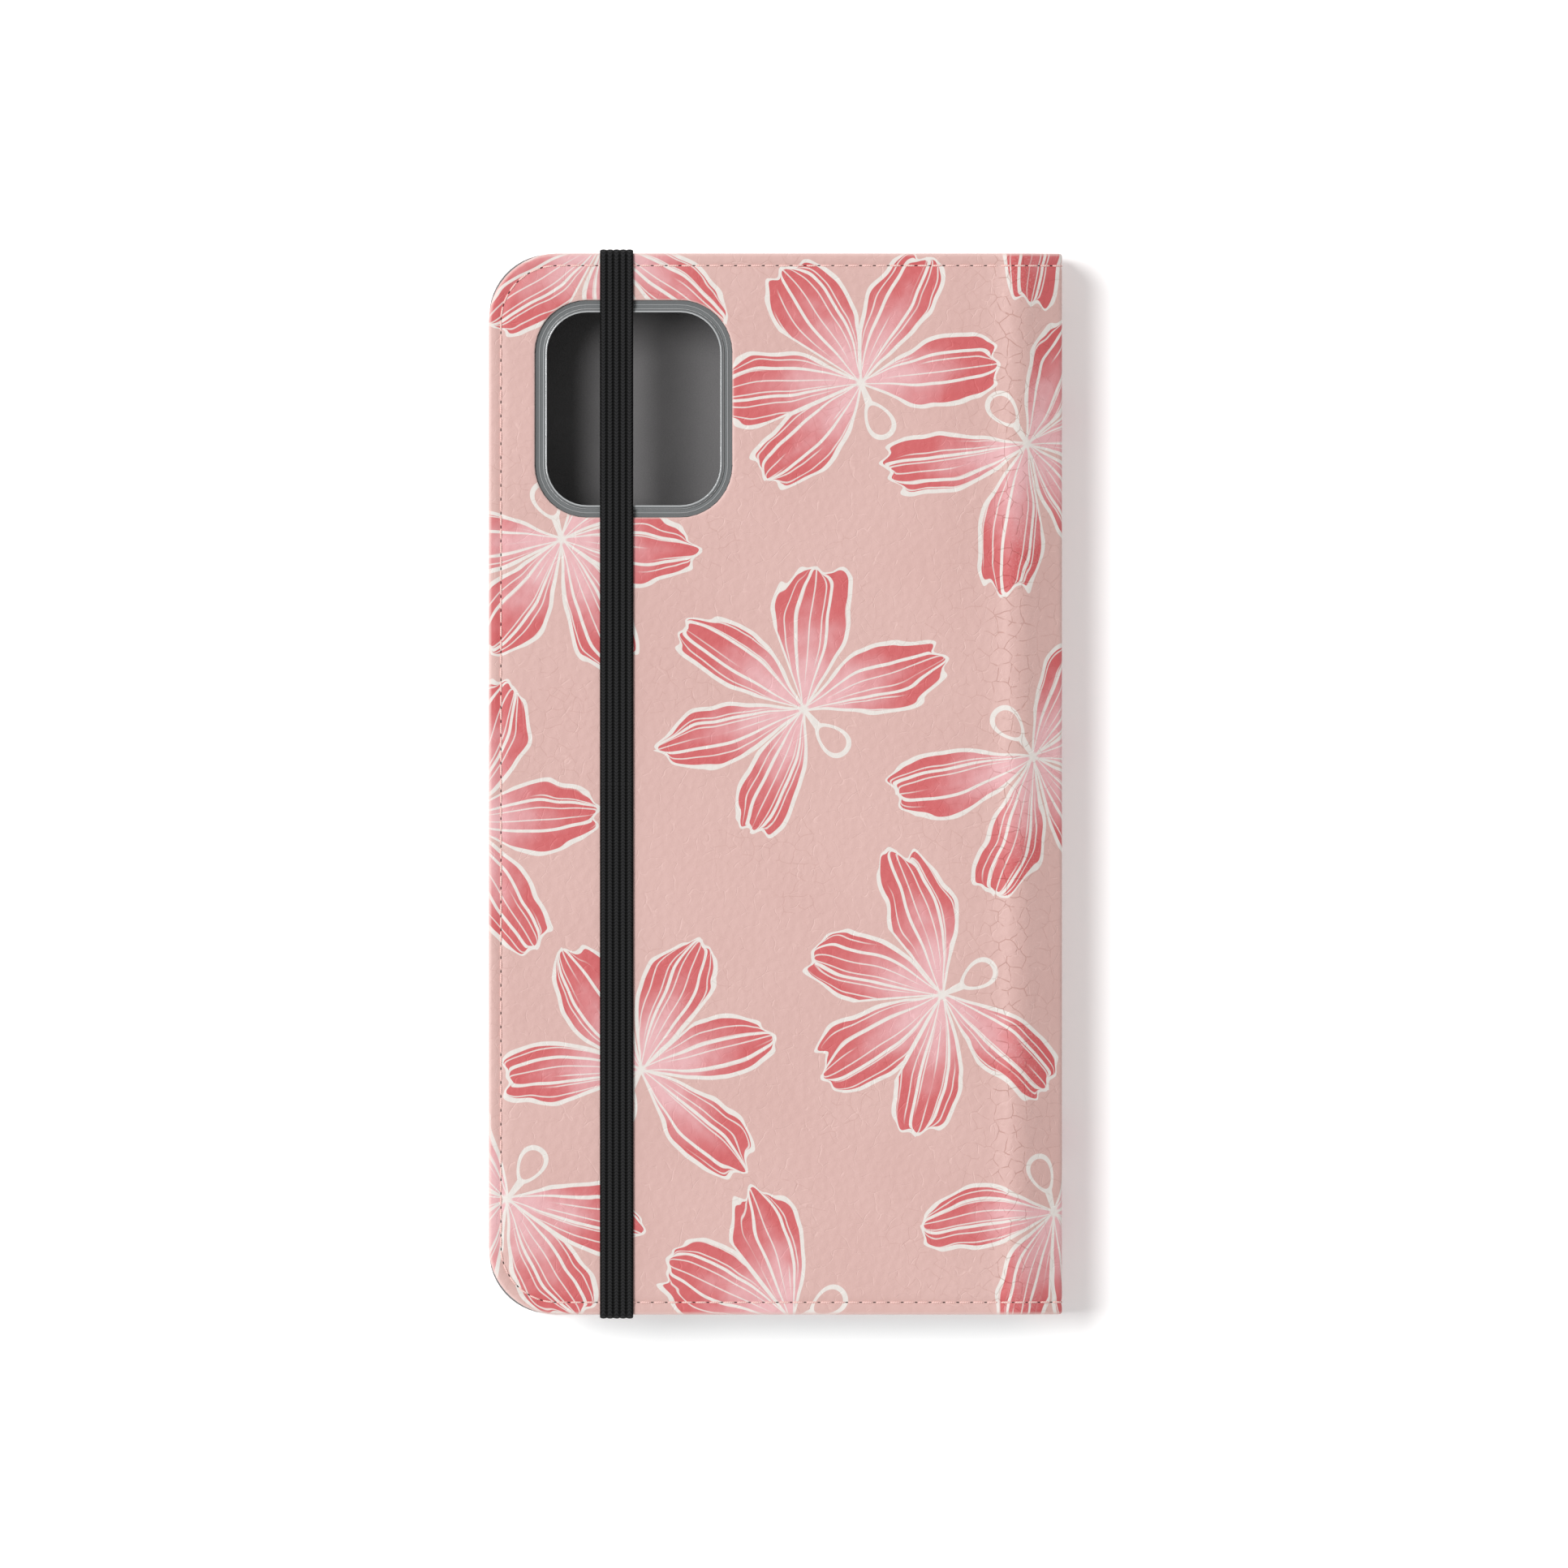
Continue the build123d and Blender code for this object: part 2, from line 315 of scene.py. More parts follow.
def random_parts(first, second, salt):
    """Three random numbers that stay the same for the same two inputs."""
    inputs = {"Vector": pack(first, second, salt)}
    return result(first.tree, "ShaderNodeTexWhiteNoise", inputs, "Color", noise_dimensions="3D").parts()


def new_material(name):
    """A new material, its node tree and its Principled shader."""
    material = bpy.data.materials.new(name)
    material.use_nodes = True
    return material, material.node_tree, material.node_tree.nodes["Principled BSDF"]


def finish_surface(shader, colour, height, roughness):
    """Colour, bump from a height in millimetres, and roughness on the shader."""
    bump = result(height.tree, "ShaderNodeBump", {"Height": height, "Strength": 1.0, "Distance": MM})
    for name, value in (("Base Color", colour), ("Normal", bump), ("Roughness", roughness)):
        plug(height.tree, shader.inputs[name], value)


def surface_map(tree, name="surface"):
    """Coordinates of a UV map, in millimetres on the surface."""
    return result(tree, "ShaderNodeUVMap", uv_map=name)


def attribute(tree, name):
    """A number that the mesh holds for each point or face."""
    return result(tree, "ShaderNodeAttribute", output="Fac", attribute_name=name)


def object_map(tree):
    """Object coordinates in millimetres."""
    return result(tree, "ShaderNodeTexCoord", output="Object").scaled(1 / MM)


# ---------------- the printed flower
PETAL_STEP = math.radians(56)
PETAL_LENGTH = 19.2
PETAL_WIDTH = 4.3
PETAL_REACH = 1.12
LINE_HALF = 0.31
LINE_SOFT = 0.05
# Half-width of a petal along its length, as shares of its length and of its widest half-width.
PETAL_SHAPE = (
    (0, 0.08), (0.12, 0.3), (0.3, 0.66), (0.5, 0.94), (0.66, 1),
    (0.83, 0.88), (0.94, 0.66), (0.983, 0.46), (1.0, 0.05), (1.04, -0.5),
)

# Flowers of the print on the unrolled wrap: distance from the middle of the spine towards the
# front cover, height, and the direction of the gap between its outer petals, in degrees.
FLOWERS = (
    (-73.2, 80, 90), (-35.5, 59, -60), (-11.0, 50, 130), (-79.5, 36, 115), (-43.9, 11, -42),
    (-10.0, 4, 133), (-95.3, -5, 180), (-67.8, -42, 250), (-23.6, -31, 33), (-87.5, -61, 60),
    (-45.7, -79, 32), (-6.5, -63, 115), (-6.0, 92, 75), (24, 72, 200), (62, 60, -60),
    (88, 40, 130), (29, 30, 115), (55, 12, -42), (88, -6, 150), (27, -16, 20),
    (60, -35, 250), (27, -60, 200), (84, -62, 60), (52, -80, 32), (86, 84, 90),
)


def drawn(distance, half):
    """A drawn line of this half-width, at a distance from its middle."""
    return distance.ramp(half + LINE_SOFT, half - LINE_SOFT)


def flower_group():
    """One five-petal flower: where its petals and its drawn lines are, and how deep its colour is."""
    tree = bpy.data.node_groups.new("flower", "ShaderNodeTree")
    tree.interface.new_socket("Point", in_out="INPUT", socket_type="NodeSocketVector")
    tree.interface.new_socket("Seed", in_out="INPUT", socket_type="NodeSocketFloat")
    for name in ("Petal", "Line", "Depth"):
        tree.interface.new_socket(name, in_out="OUTPUT", socket_type="NodeSocketFloat")
    point, seed = outputs_of(tree, add_node(tree, "NodeGroupInput"))[:2]
    x, y, _ = point.parts()

    radius = (x * x + y * y).make("SQRT")
    angle = y.make("ARCTAN2", x)
    petal = (angle / PETAL_STEP).make("ROUND").under(2.0).over(-2.0)
    lean, grow, spread = random_parts(petal, seed, 1.0)
    curl, vein_shift, vein_phase = random_parts(petal, seed, 2.0)

    turn = angle - petal * PETAL_STEP - (lean - 0.5) * 0.16
    length = grow * 2.6 + PETAL_LENGTH
    across = radius * turn.make("SINE")
    reach = radius * turn.make("COSINE") / length
    across = across - (curl - 0.5) * reach * reach * 4.5
    side = across.make("SIGN")
    tip_wave = pack(across, petal * 4.7, seed).noise(1.9, 0.0) - 0.5
    reach = reach * (tip_wave * 0.2 + 1.0)

    width = spread * 1.1 + PETAL_WIDTH
    edge_wave = pack(reach * 3.6, side * 7.3 + petal * 3.1, seed).noise(1.0, 0.5) - 0.5
    wave = edge_wave * reach * 4.8
    half = reach.curve(PETAL_SHAPE, PETAL_REACH, -0.5, 1.0) * width + wave
    before = (reach - 0.03).curve(PETAL_SHAPE, PETAL_REACH, -0.5, 1.0) * width + wave
    slope = (half - before) / length / 0.03
    distance = (abs(across) - half) / (slope * slope + 1.0).make("SQRT")
    distance = distance.over(abs(across) - before)
    beside = (abs(angle - petal * PETAL_STEP) - PETAL_STEP / 2) * radius
    inner = (abs(angle) - PETAL_STEP * 2.0).ramp(-0.01, 0.01, 0.0, -9.0)
    distance = distance.over(beside + inner)
    fine_line = reach.ramp(0.05, 0.5, 0.35, 1.0)

    inside = distance.ramp(LINE_SOFT, -LINE_SOFT)
    line_half = reach.ramp(0.0, 0.4, 0.55, 1.0) * LINE_HALF
    outline = drawn(abs(distance), line_half)
    safe_half = half.over(0.05)
    vein_wave = pack(reach * 2.5, petal * 5.3, seed).noise(1.0, 0.0) - 0.5
    share = across / safe_half + vein_wave * 0.3
    main_vein = abs(abs(share + (vein_shift - 0.5) * 0.3) - 0.42) * safe_half
    fine_vein = abs((share * 3.1 + vein_phase).make("FRACT") - 0.5) * safe_half / 3.1
    main_half = fine_line * 0.22
    fine_half = fine_line * 0.1
    broken = pack(reach * 1.2, share * 1.6 + petal * 3.7, seed).noise(1.0, 0.0)
    fine_part = drawn(fine_vein, fine_half) * reach.ramp(0.1, 0.32) * broken.ramp(0.36, 0.44) * 0.85
    veins = drawn(main_vein, main_half).over(fine_part)

    # The pistil is a stalk and a closed loop in the gap between the outer petals.
    loop_x = (x + 6.0) / 2.7
    loop_y = (y - 0.5) / (x * -0.2 + 0.6)
    loop = abs((loop_x * loop_x + loop_y * loop_y).make("SQRT") - 1.0) * 2.0
    stalk = abs(abs(y + x * 0.15) + x * 0.1) + x.ramp(-3.7, -3.4, 9.0, 0.0) + x.ramp(-0.1, 0.1, 0.0, 9.0)
    pistil = loop.under(stalk).ramp(0.32, 0.24)
    heart = radius.ramp(1.0, 0.4)

    line = outline.over(inside * veins).over(pistil).over(heart)
    cloud = pack(x, y, seed).noise(3.5) - 0.5
    depth = (reach + abs(share) * 0.26 + cloud * 0.45).ramp(0.2, 0.95)
    add_node(tree, "NodeGroupOutput", {"Petal": inside, "Line": line, "Depth": depth})
    return tree


LAYERS = ("flower_a", "flower_b", "flower_c")
GROUND = lit(225, 184, 177)
PETAL_PALE = lit(241, 188, 191)
PETAL_DEEP = lit(217, 103, 105)
LINE_COLOUR = lit(241, 234, 228)
CREASE_SHADE_TINT = (0.78, 0.68, 0.65, 1)
WRINKLE_TINT = (1.06, 1.08, 1.08, 1)


def printed_leather():
    """Faux leather with the flower print, a fine grain, creases that gather near the folds with painted
    shade in them, edges lightened by wear and a painted highlight, and painted glints on the fold's
    crest.
    """
    material, tree, shader = new_material("printed_leather")
    group = flower_group()
    surface = surface_map(tree)

    def spots(size):
        return surface.noise(size, dimensions="2D")

    def network(push_size, push, size, feature="DISTANCE_TO_EDGE"):
        return surface.warped(push_size, push, "2D").cells(size, feature, "2D")

    colour = spots(26.0).ramp(0.3, 0.7).mix(GROUND, lit(228, 188, 181))
    for layer in LAYERS:
        inputs = {"Point": surface_map(tree, layer), "Seed": attribute(tree, f"{layer}_seed")}
        flower = add_node(tree, "ShaderNodeGroup", node_tree=group, inputs=inputs)
        petal, line, depth = outputs_of(tree, flower)
        colour = petal.mix(colour, depth.mix(PETAL_PALE, PETAL_DEEP))
        colour = line.mix(colour, LINE_COLOUR)

    along = abs(surface.parts()[0])
    crest = along.ramp(9.0, 11.5) * along.ramp(18.5, 14.5)
    around_crest = along.ramp(4.0, 7.0) * along.ramp(27.0, 16.0)
    patchy = spots(17.0).ramp(0.48, 0.66)
    strength = crest.over(around_crest * 0.45).over(patchy * 0.35).over(0.08)
    crease = network(2.8, 0.6, 2.2).ramp(0.05, 0.0) * strength * spots(1.7).ramp(0.34, 0.54)
    wrinkle = network(3.2, 1.4, 2.9).ramp(0.045, 0.0) * spots(1.9).ramp(0.42, 0.6)
    pebbles = network(1.1, 0.3, 1.15, "SMOOTH_F1")
    grain = spots(0.28)
    # Painted highlight: pale glints in the grain along the fold's crest.
    crest_glint_highlight = grain.ramp(0.55, 0.68) * along.ramp(8.0, 10.0) * along.ramp(15.0, 12.0)
    # Lighter along the edges: wear, and a painted highlight on the rounded edge.
    edge_wear_and_highlight = attribute(tree, "edge").ramp(0.55, 0.05)

    # Painted shade: the colour is darkened along the crease lines.
    colour = crease.mix(colour, CREASE_SHADE_TINT, "MULTIPLY")
    colour = wrinkle.mix(colour, WRINKLE_TINT, "MULTIPLY")
    # Pale pink mixed in: painted highlight and wear along the edges, painted glints on the crest.
    colour = (edge_wear_and_highlight * 0.7).over(crest_glint_highlight * 0.18).mix(colour, lit(247, 214, 208))
    height = crease * -0.028 + wrinkle * -0.024 + pebbles * -0.05 + grain * 0.012
    roughness = grain * 0.16 + 0.44 + crease * 0.15
    finish_surface(shader, colour, height, roughness)
    shader.inputs["Specular IOR Level"].default_value = 0.35
    return material


# ---------------- the other materials
def grained(name, dark, light, size, detail, bump, spread, rough):
    """A material with one grain in its colour, its bump and its roughness."""
    material, tree, shader = new_material(name)
    grain = object_map(tree).noise(size, detail)
    colour = grain.mix(dark, light)
    finish_surface(shader, colour, grain * bump, grain * spread + rough)
    return material


def leather_edge():
    """Cut edge and back of the faux leather: pale fibre with a hint of the print."""
    colours = lit(226, 196, 190), lit(243, 224, 219)
    return grained("leather_edge", *colours, size=0.18, detail=3.0, bump=0.05, spread=0.1, rough=0.8)


def suede_lining():
    """Soft grey microfibre with a short nap."""
    material, tree, shader = new_material("suede_lining")
    place = object_map(tree)
    nap = place.noise(0.22, 4.0, 0.65)
    brushed = place.warped(6.0, 3.0).noise(9.0)
    colour = (nap * 0.6 + brushed * 0.4).mix(linear(92, 91, 92), linear(124, 122, 122))
    finish_surface(shader, colour, nap * 0.06, nap * 0.08 + 0.86)
    shader.inputs["Sheen Weight"].default_value = 0.25
    shader.inputs["Sheen Roughness"].default_value = 0.5
    return material


def board():
    """Grey-brown recycled card with flecks."""
    material, tree, shader = new_material("board")
    place = object_map(tree)
    pulp = place.noise(0.5, 4.0)
    flecks = place.cells(1.4, "F1").ramp(0.16, 0.08)
    colour = pulp.mix(linear(120, 112, 100), linear(158, 149, 134))
    colour = (flecks * 0.5).mix(colour, linear(84, 76, 66))
    finish_surface(shader, colour, pulp * 0.04, pulp * 0.1 + 0.82)
    return material


def adhesive():
    """Milky double-sided film with small trapped bubbles."""
    material, tree, shader = new_material("adhesive")
    place = object_map(tree)
    bubbles = place.cells(1.8, "F1").ramp(0.2, 0.1)
    haze = place.noise(7.0)
    colour = haze.mix(linear(226, 224, 214), linear(240, 239, 232))
    finish_surface(shader, colour, bubbles * 0.05, bubbles * 0.2 + 0.25)
    return material


def shell_plastic():
    """Moulded grey plastic: a fine spark texture over faint flow marks."""
    material, tree, shader = new_material("shell_plastic")
    place = object_map(tree)
    spark = place.noise(0.16, 3.0)
    flow = place.warped(9.0, 4.0).noise(14.0)
    colour = (flow * 0.7 + spark * 0.3).mix(linear(82, 85, 86), linear(102, 104, 105))
    finish_surface(shader, colour, spark * 0.02, spark * 0.1 + 0.42)
    return material


def collar_trim():
    """Trim round the cameras, coloured across it: grey flange, satin band, and a lip and a bead whose
    lighter colour is a painted highlight.
    """
    material, tree, shader = new_material("collar_trim")
    across = surface_map(tree).parts()[0]
    spark = object_map(tree).noise(0.16, 3.0)
    lip = abs(across - LIP_PLACE).ramp(0.1, 0.05)
    bead = across.ramp(0.87, 0.92) * across.ramp(1.47, 1.44)
    colour = spark.mix(linear(86, 89, 90), linear(104, 107, 108))
    colour = across.ramp(LIP_PLACE, 0.3).mix(colour, linear(86, 89, 90))
    # Painted highlight: the lip and the bead are coloured lighter than the rest of the trim.
    colour = lip.mix(colour, linear(150, 152, 153))
    colour = bead.mix(colour, linear(172, 174, 175))
    satin = (bead * -1.0 + 1.0) * spark
    finish_surface(shader, colour, satin * 0.02, bead * -0.3 + satin * 0.1 + 0.4)
    return material


RIB_PITCH = 0.96
YARN_PITCH = 0.465


def elastic():
    """Black knitted elastic: slanted yarns on each rib with painted highlights on their crests, and
    painted shade in the grooves between, darkest in small eyes.
    """
    material, tree, shader = new_material("elastic")
    across, along, _ = surface_map(tree).parts()
    off_rib = abs((across / RIB_PITCH).make("FRACT") - 0.5)
    groove = (off_rib * 2.0).ramp(0.42, 0.88)
    slant = along + off_rib * YARN_PITCH * 1.6
    yarn = (slant / YARN_PITCH * math.tau).make("SINE") * 0.5 + 0.5
    fine = (slant / YARN_PITCH * 3 * math.tau).make("SINE") * 0.5 + 0.5
    eyes = groove * (along / YARN_PITCH * math.tau).make("SINE").ramp(0.1, 0.9)
    fuzz = pack(across, along).noise(0.12)
    # Painted highlight: the yarn crests are lighter, with random fuzz.
    light = yarn * 0.65 + fine * 0.15 + fuzz * 0.2
    colour = light.mix(linear(17, 17, 18), linear(45, 45, 46))
    # Painted shade: darker in the grooves, darkest in the knit's eyes.
    colour = groove.mix(colour, linear(10, 10, 10))
    colour = eyes.mix(colour, linear(4, 4, 4))
    height = yarn * 0.05 + fine * 0.012 - groove * 0.06 - eyes * 0.08
    finish_surface(shader, colour, height, fuzz * 0.15 + 0.62)
    shader.inputs["Specular IOR Level"].default_value = 0.12
    return material


def twisted_thread(name, dark, light):
    """Sewing thread: plies that wind round it, with painted shade between them."""
    material, tree, shader = new_material(name)
    along, around, _ = surface_map(tree).parts()
    plies = ((along / 0.34 + around) * math.tau).make("SINE") * 0.5 + 0.5
    fuzz = object_map(tree).noise(0.07)
    # Painted shade between the plies: the colour runs from dark to light across each ply.
    colour = (plies * 0.7 + fuzz * 0.3).mix(dark, light)
    finish_surface(shader, colour, plies * 0.03, fuzz * 0.1 + 0.62)
    return material


def needle_hole_shade():
    """Dark colour of a needle hole: painted shade in the pit where the thread goes down into the
    leather.
    """
    colours = linear(34, 23, 22), linear(72, 48, 45)
    return grained("needle_hole_shade", *colours, size=0.1, detail=2.0, bump=0.02, spread=0.1, rough=0.85)


def floor_material():
    """White studio floor with a faint glow, so that the case's shadow stays pale."""
    greys = (0.9, 0.9, 0.9, 1), (0.92, 0.92, 0.92, 1)
    material = grained("studio_floor", *greys, size=40.0, detail=2.0, bump=0.01, spread=0.02, rough=0.95)
    shader = material.node_tree.nodes["Principled BSDF"]
    shader.inputs["Emission Color"].default_value = (1, 1, 1, 1)
    shader.inputs["Emission Strength"].default_value = 0.28
    return material


def make_world():
    """Soft even sky, brighter towards the horizon."""
    world = bpy.data.worlds.new("studio")
    world.use_nodes = True
    tree = world.node_tree
    direction = result(tree, "ShaderNodeTexCoord", output="Generated")
    height = abs(direction.parts()[2])
    strength = height.ramp(0.0, 0.45, SKY_HORIZON, SKY_ZENITH)
    background = tree.nodes["Background"].inputs
    plug(tree, background["Strength"], strength)
    background["Color"].default_value = (1, 1, 1, 1)
    bpy.context.scene.world = world


# ---------------- meshes
def make_piece(name, points, faces, materials, face_material=None, smooth_angle=50):
    """A mesh object from points in millimetres."""
    mesh = bpy.data.meshes.new(name)
    mesh.from_pydata(np.asarray(points) * MM, [], faces)
    for material in materials:
        mesh.materials.append(material)
    if face_material is not None:
        mesh.polygons.foreach_set("material_index", np.asarray(face_material, np.int32))
    mesh.shade_smooth()
    mesh.set_sharp_from_angle(angle=math.radians(smooth_angle))
    mesh.validate()
    return add_object(name, mesh)


def corner_map(piece, name, values):
    """A UV map that holds two numbers for each face corner."""
    layer = piece.data.uv_layers.new(name=name)
    layer.data.foreach_set("uv", np.asarray(values, np.float32).ravel())


def corners_of(piece):
    """Vertex number of each face corner."""
    numbers = np.zeros(len(piece.data.loops), np.int32)
    piece.data.loops.foreach_get("vertex_index", numbers)
    return numbers


def round_over(distance, radius):
    """How far a rounded edge drops at a distance inside it."""
    share = np.clip(1 - distance / radius, 0, 1)
    return radius * (1 - np.sqrt(1 - share * share))


def smooth_step(value, start, end):
    """0 before start, 1 after end, and smooth between."""
    share = np.clip((value - start) / (end - start), 0, 1)
    return share * share * (3 - 2 * share)


def valley(distance, depth, width):
    """Depth of a soft groove at a distance from its line."""
    return depth * np.exp(-((distance / width) ** 2))


def hole_distance(x, y):
    """Distance outside the camera cut-out, negative inside it."""
    dx = np.abs(x - CAMERA_CENTRE[0]) - CAMERA_SIZE[0] / 2 + CAMERA_RADIUS
    dy = np.abs(y - CAMERA_CENTRE[1]) - CAMERA_SIZE[1] / 2 + CAMERA_RADIUS
    beyond = np.hypot(np.maximum(dx, 0), np.maximum(dy, 0))
    return beyond + np.minimum(np.maximum(dx, dy), 0) - CAMERA_RADIUS


def edge_distance(x, y, radius, place=COVER_PLACE):
    """Distance inside a sheet that is rounded at the fore-edge and open towards the spine."""
    fore, half, centre_y = place
    dx = x - fore
    dy = half - np.abs(y - centre_y)
    in_corner = (dx < radius) & (dy < radius)
    corner = radius - np.hypot(radius - dx, radius - dy)
    return np.where(in_corner, corner, np.minimum(dx, dy))


def sheet_line(columns, rows, radius, inset, place=COVER_PLACE):
    """Line round the top, the fore-edge and the bottom of a sheet, inset from its edge."""
    fore, half, centre_y = place
    across = columns[columns > fore + radius + ARC_GAP][::-1]
    down = rows[np.abs(rows - centre_y) < half - radius - ARC_GAP][::-1]
    turn = np.linspace(0, math.pi / 2, ARC_POINTS)
    bow = radius - inset
    arc_x = fore + radius - bow * np.sin(turn)
    arc_y = half - radius + bow * np.cos(turn)
    level = np.full(len(across), half - inset)
    x = np.concatenate([across, arc_x, np.full(len(down), fore + inset), arc_x[::-1], across[::-1]])
    y = np.concatenate([level, arc_y, down - centre_y, -arc_y[::-1], -level])
    return np.column_stack([x, y + centre_y])


def hole_line(grow):
    """Closed line round the camera cut-out, grow outside it."""
    bow = CAMERA_RADIUS + grow
    points = []
    for side_x, side_y, start in ((1, 1, 0), (-1, 1, 90), (-1, -1, 180), (1, -1, 270)):
        corner_x = CAMERA_CENTRE[0] + side_x * (CAMERA_SIZE[0] / 2 - CAMERA_RADIUS)
        corner_y = CAMERA_CENTRE[1] + side_y * (CAMERA_SIZE[1] / 2 - CAMERA_RADIUS)
        for step in range(11):
            turn = math.radians(start + 9 * step)
            points.append((corner_x + bow * math.cos(turn), corner_y + bow * math.sin(turn)))
    dense = []
    for a, b in zip(points, points[1:] + points[:1]):
        count = max(1, round(math.dist(a, b) / GRID))
        dense += [np.array(a) + (np.array(b) - a) * i / count for i in range(count)]
    return np.array(dense)


def grid_quads(wide, tall):
    """Quads over a grid of points that has wide points in each of tall rows."""
    corners = [j * wide + i for j in range(tall - 1) for i in range(wide - 1)]
    return [(a, a + 1, a + wide + 1, a + wide) for a in corners]


def triangulate(open_lines, closed_lines, grid, inside):
    """Triangles over the region where inside(x, y) is positive, with edges along the lines."""
    index = {}
    edges = []

    def number(point):
        return index.setdefault((round(float(point[0]), 4), round(float(point[1]), 4)), len(index))

    for line in open_lines + closed_lines:
        chain = [number(p) for p in line]
        edges += [(a, b) for a, b in zip(chain, chain[1:]) if a != b]
    for line in closed_lines:
        edges.append((number(line[-1]), number(line[0])))
    for point in grid:
        number(point)
    flat = delaunay_2d_cdt([Vector(p) for p in index], edges, [], 0, 1e-5)
    points = np.array([tuple(v) for v in flat[0]])
    faces = np.array([tuple(f) for f in flat[2]])
    centre = points[faces].mean(axis=1)
    return points, faces[inside(centre[:, 0], centre[:, 1]) > 0]


def sheet_flat(columns, rows, radius, insets, end_x, place=COVER_PLACE, hole=False):
    """Flat triangles over a sheet, from its fore-edge to its straight end."""
    _, half, centre_y = place
    lines = [sheet_line(columns, rows, radius, inset, place) for inset in insets]
    from_edge = half - np.array(insets)
    end_y = np.concatenate([-from_edge, rows - centre_y, from_edge]) + centre_y
    lines.append(np.column_stack([np.full(len(end_y), end_x), np.sort(end_y)]))
    holes = [hole_line(step) for step in HOLE_LINES] if hole else []
    x, y = (a.ravel() for a in np.meshgrid(columns, rows))
    far = edge_distance(x, y, radius, place) > insets[-1] + SPARE
    if hole:
        far &= hole_distance(x, y) > HOLE_LINES[-1] + SPARE

    def inside(x, y):
        distance = edge_distance(x, y, radius, place)
        return np.minimum(distance, hole_distance(x, y)) if hole else distance

    return triangulate(lines, holes, np.column_stack([x[far], y[far]]), inside)


def closed_sheet(faces, count):
    """Faces of a closed sheet: the top, the bottom on a second set of points, and walls between."""
    sides = np.concatenate([faces[:, [0, 1]], faces[:, [1, 2]], faces[:, [2, 0]]])
    there = {tuple(e) for e in sides.tolist()}
    border = [e for e in sides.tolist() if (e[1], e[0]) not in there]
    top = faces.tolist()
    bottom = (faces[:, ::-1] + count).tolist()
    walls = [[b, a, a + count, b + count] for a, b in border]
    return top, bottom, walls


def sheet_piece(name, flat, top, bottom, materials, flip=False):
    """Closed sheet between two surfaces over flat triangles, and the flat place of each point.

    Its edge and its underside take the last material.
    """
    points, faces = flat
    used, faces = np.unique(faces, return_inverse=True)
    faces = faces.reshape(-1, 3)
    x, y = points[used].T
    above, below, walls = closed_sheet(faces, len(used))
    polygons = above + below + walls
    if flip:
        polygons = [p[::-1] for p in polygons]
    last = len(materials) - 1
    kinds = [0] * len(above) + [last] * (len(below) + len(walls))
    verts = np.concatenate([np.column_stack(top(x, y)), np.column_stack(bottom(x, y))])
    piece = make_piece(name, verts, polygons, materials, kinds)
    return piece, np.tile(points[used], (2, 1))


# ---------------- line of the wrap round the spine
def wrap_line():
    """Outer line of a cover and its fold, seen from the end: length along it, x, drop and tilt."""
    bend_radius = BEND_LENGTH / SHOULDER_TILT
    bend_run = bend_radius * math.sin(SHOULDER_TILT)
    corner_run = CORNER_RADIUS * (1 - math.sin(SHOULDER_TILT))
    shoulder = (spine_x - BEND_START - bend_run - corner_run) / math.cos(SHOULDER_TILT)
    shoulder_start = BEND_START + BEND_LENGTH
    corner_start = shoulder_start + shoulder
    corner_end = corner_start + CORNER_RADIUS * (math.pi / 2 - SHOULDER_TILT)
    step = 0.01
    s = np.arange(BEND_START, corner_end + 1, step)
    turns = [0, SHOULDER_TILT, SHOULDER_TILT, math.pi / 2]
    tilt = np.interp(s, [BEND_START, shoulder_start, corner_start, corner_end], turns)
    x = BEND_START + np.concatenate([[0], np.cumsum(np.cos(tilt) * step)[:-1]])
    drop = np.concatenate([[0], np.cumsum(np.sin(tilt) * step)[:-1]])
    keep = drop <= case_depth - spine_high.z
    ends = (fore_x - 5, BEND_START - step)
    starts = (ends, ends, (0, 0), (0, 0))
    return [np.concatenate([start, value[keep]]) for start, value in zip(starts, (s, x, drop, tilt))]


line_s, line_x, line_drop, line_tilt = wrap_line()
spine_s = line_s[-1]


def on_wrap(s, y, depth, side):
    """Points at a depth below the outer surface; side is 1 for the back cover and -1 for the front."""
    tilt = np.interp(s, line_s, line_tilt)
    share = np.clip((s - fold_x) / (spine_s - fold_x), 0, 1)
    x = np.interp(s, line_s, line_x) + share * (spine_x - line_x[-1]) - depth * np.sin(tilt)
    drop = np.interp(s, line_s, line_drop) + share * (case_depth - spine_high.z - line_drop[-1])
    drop = drop + depth * np.cos(tilt)
    return x, y, middle_z + side * (middle_z - drop)


def in_lining(s, y, lift, side):
    """Points on the inner face of a lining, lifted towards the outside."""
    share = np.clip((s - fold_x + rim) / (spine_s - fold_x + rim), 0, 1)
    x = np.where(s < fold_x - rim, s, fold_x - rim + share * (spine_lining_low.x - fold_x + rim))
    rise = case_depth - spine_high.z - lining_drop
    sag = LINING_SAG * np.sin(math.pi * share)
    drop = lining_drop + rise * share**LINING_RISE_POWER - sag - lift * (1 - share)
    return x, y, middle_z + side * (middle_z - drop)


def print_x(s, side):
    """Place on the unrolled wrap, measured from the middle of the spine towards the front cover."""
    return -side * (half_spine + spine_s - s)


# ---------------- covers
columns = np.concatenate([
    np.linspace(fore_x + MARGIN, fold_x - rim - GRID, 61),
    [fold_x - rim, fold_x - rim + 0.02],
    np.linspace(fold_x, spine_s, 31),
])
rows = np.linspace(MARGIN - half_height, half_height - MARGIN, 126)


